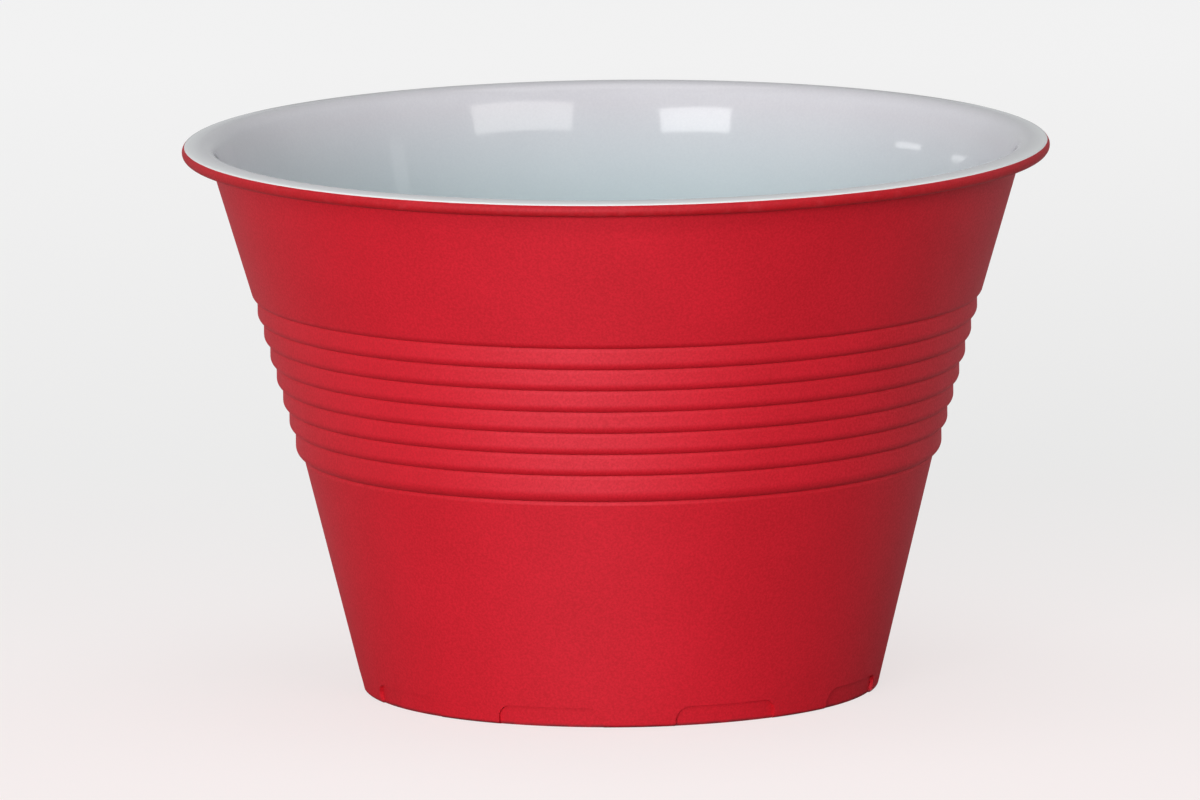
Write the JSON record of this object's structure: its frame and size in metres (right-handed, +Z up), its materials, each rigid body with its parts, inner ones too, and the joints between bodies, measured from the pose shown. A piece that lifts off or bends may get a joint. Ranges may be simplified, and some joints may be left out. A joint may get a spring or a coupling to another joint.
{
  "type": "plastic party cup",
  "caption": "Squat two-tone plastic cup with an out-turned lip, grip bands round its middle and a standing foot.",
  "frame": {"origin": "centre of the foot on the table", "axes": "+Z up along the cup's axis; -Y is the side that the picture shows"},
  "size_m": [0.098, 0.098, 0.0624],
  "materials": {
    "outside_red": "satin red moulding, soft sheen, on the outside of the wall, the lip's outer edge and the foot",
    "inside_white": "glossy white, on the inside of the wall, the floor and the top of the lip"
  },
  "bodies": {
    "root": {"cup": "outside_red"}
  },
  "joints": []
}
